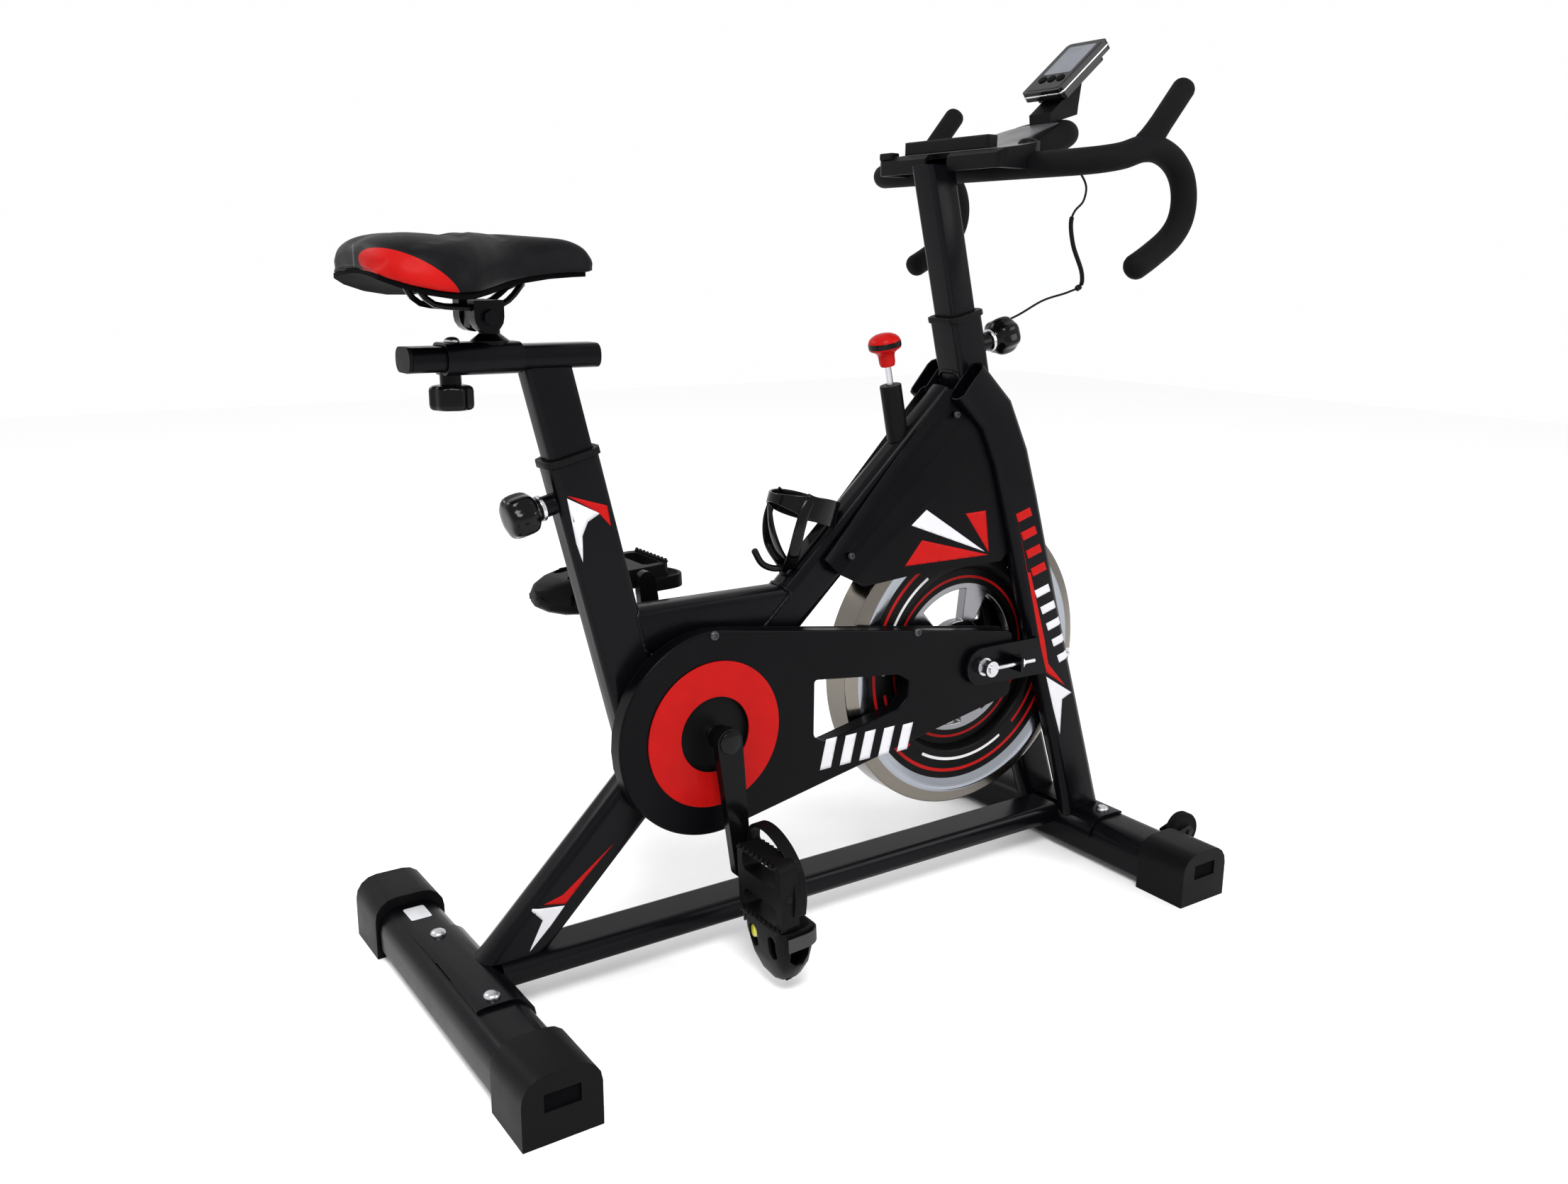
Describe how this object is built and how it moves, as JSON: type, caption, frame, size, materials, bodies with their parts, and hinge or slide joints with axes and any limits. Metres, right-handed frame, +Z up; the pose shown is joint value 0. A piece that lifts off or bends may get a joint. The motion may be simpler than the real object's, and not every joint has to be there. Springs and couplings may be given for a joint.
{
  "type": "indoor spin bike",
  "caption": "Indoor spin bike with a belt-driven flywheel, adjustable saddle and handlebar posts, toe-cage pedals, push-down brake knob and a small console on a tray.",
  "frame": {"origin": "on the floor under the middle of the bike's overall length and width", "axes": "+X towards the front of the bike, +Y to the rider's left (away from the belt cover), +Z up"},
  "size_m": [1.1177, 0.542, 1.1307],
  "materials": {
    "frame_paint": "satin black powder coat",
    "black_plastic": "moulded, fine grain",
    "gloss_black": "polished black",
    "crank_paint": "gloss black paint",
    "red_plastic": "gloss red",
    "rim_chrome": "polished rim, painted black web with printed rings",
    "steel": "zinc plated",
    "rubber": "matt black",
    "foam_grip": "matt black foam sleeve over steel tube",
    "saddle_cover": "black synthetic leather with red side panels over foam"
  },
  "bodies": {
    "frame": {"seat_tube": "frame_paint", "seat_tube_collar": "black_plastic", "down_tube": "frame_paint", "top_tube": "frame_paint", "rear_strut": "frame_paint", "keel_tube": "frame_paint", "head_tube": "frame_paint", "head_tube_collar": "black_plastic", "fork_leg_right": "frame_paint", "fork_leg_left": "frame_paint", "bottom_bracket_shell": "frame_paint", "rear_stabilizer": "frame_paint", "front_stabilizer": "frame_paint", "rear_joint_plate": "frame_paint", "front_joint_plate": "frame_paint", "rear_foot_cap_right": "black_plastic", "rear_foot_cap_left": "black_plastic", "front_foot_cap_right": "black_plastic", "front_foot_cap_left": "black_plastic", "belt_cover_outer": "black_plastic", "belt_cover_inner": "black_plastic", "cover_ring": "red_plastic", "shroud_right": "black_plastic", "shroud_left": "black_plastic", "flywheel_axle": "steel", "brake_sleeve": "frame_paint", "bottle_cage": "gloss_black", "drive_belt": "rubber", "sensor_cable": "rubber"},
    "seat_mast": {"seat_post": "frame_paint", "seat_beam": "frame_paint", "beam_plug": "black_plastic"},
    "seat_clamp_knob": {"seat_post_knob": "gloss_black"},
    "saddle_slider": {"saddle_sleeve": "frame_paint"},
    "slider_clamp_knob": {"slider_knob": "gloss_black"},
    "saddle": {"saddle_clamp": "frame_paint", "saddle_rails": "steel", "saddle_base": "black_plastic", "saddle_pad": "saddle_cover"},
    "handlebars": {"handlebar_post": "frame_paint", "handlebar": "foam_grip", "tablet_tray": "black_plastic", "console_stem": "black_plastic", "console": "gloss_black"},
    "handlebar_clamp_knob": {"handlebar_post_knob": "gloss_black"},
    "brake_plunger": {"brake_rod": "steel", "brake_pad": "rubber"},
    "brake_hand_knob": {"brake_knob": "red_plastic"},
    "flywheel_body": {"flywheel": "rim_chrome"},
    "crankset": {"crank_spindle": "steel", "crank_pulley": "black_plastic", "crank_arm_right": "crank_paint", "crank_arm_left": "crank_paint"},
    "right_pedal": {"pedal_right": "black_plastic", "toe_cage_right": "black_plastic"},
    "left_pedal": {"pedal_left": "black_plastic", "toe_cage_left": "black_plastic"},
    "right_transport_wheel": {"transport_wheel_right": "rubber"},
    "left_transport_wheel": {"transport_wheel_left": "rubber"}
  },
  "joints": [
    {"name": "seat_post_slide", "type": "slide", "parent": "frame", "child": "seat_mast", "axis": [-0.2419, 0, 0.9703], "range_m": [0, 0.1]},
    {"name": "seat_slider", "type": "slide", "parent": "seat_mast", "child": "saddle_slider", "axis": [1, 0, 0], "range_m": [-0.034, 0]},
    {"name": "saddle_tilt", "type": "hinge", "parent": "saddle_slider", "child": "saddle", "pos_m": [-0.428, 0, 0.787], "axis": [0, 1, 0], "range_deg": [-8, 8]},
    {"name": "handlebar_post_slide", "type": "slide", "parent": "frame", "child": "handlebars", "axis": [-0.2419, 0, 0.9703], "range_m": [0, 0.075]},
    {"name": "seat_knob_turn", "type": "hinge", "parent": "frame", "child": "seat_clamp_knob", "pos_m": [-0.3706, 0, 0.58012], "axis": [-0.9703, 0, -0.2419], "range_deg": [-90, 90]},
    {"name": "handlebar_knob_turn", "type": "hinge", "parent": "frame", "child": "handlebar_clamp_knob", "pos_m": [0.27768, 0, 0.74634], "axis": [0.9703, 0, 0.2419], "range_deg": [-90, 90]},
    {"name": "slider_knob_turn", "type": "hinge", "parent": "saddle_slider", "child": "slider_clamp_knob", "pos_m": [-0.461, 0, 0.719], "axis": [0, 0, 1], "range_deg": [-90, 90]},
    {"name": "brake_press", "type": "slide", "parent": "frame", "child": "brake_plunger", "axis": [0.2079, 0, -0.9781], "range_m": [0, 0.0035], "stiffness_N_per_m": 4000, "springref_m": -0.002},
    {"name": "brake_knob_turn", "type": "hinge", "parent": "brake_plunger", "child": "brake_hand_knob", "pos_m": [0.10575, 0, 0.73392], "axis": [-0.2079, 0, 0.9781], "continuous": true},
    {"name": "flywheel_spin", "type": "hinge", "parent": "frame", "child": "flywheel_body", "pos_m": [0.24, 0, 0.318], "axis": [0, 1, 0], "continuous": true},
    {"name": "crank_spin", "type": "hinge", "parent": "frame", "child": "crankset", "pos_m": [-0.178, 0, 0.3], "axis": [0, 1, 0], "continuous": true},
    {"name": "right_pedal_spin", "type": "hinge", "parent": "crankset", "child": "right_pedal", "pos_m": [-0.15904, -0.135, 0.13609], "axis": [0, 1, 0], "continuous": true},
    {"name": "left_pedal_spin", "type": "hinge", "parent": "crankset", "child": "left_pedal", "pos_m": [-0.19697, 0.135, 0.46391], "axis": [0, 1, 0], "continuous": true},
    {"name": "right_transport_wheel_spin", "type": "hinge", "parent": "frame", "child": "right_transport_wheel", "pos_m": [0.533, -0.174, 0.054], "axis": [0, 1, 0], "continuous": true},
    {"name": "left_transport_wheel_spin", "type": "hinge", "parent": "frame", "child": "left_transport_wheel", "pos_m": [0.533, 0.174, 0.054], "axis": [0, 1, 0], "continuous": true}
  ],
  "couplings": [
    {"joint": "crank_spin", "follows": "flywheel_spin", "ratio": 0.31372}
  ]
}
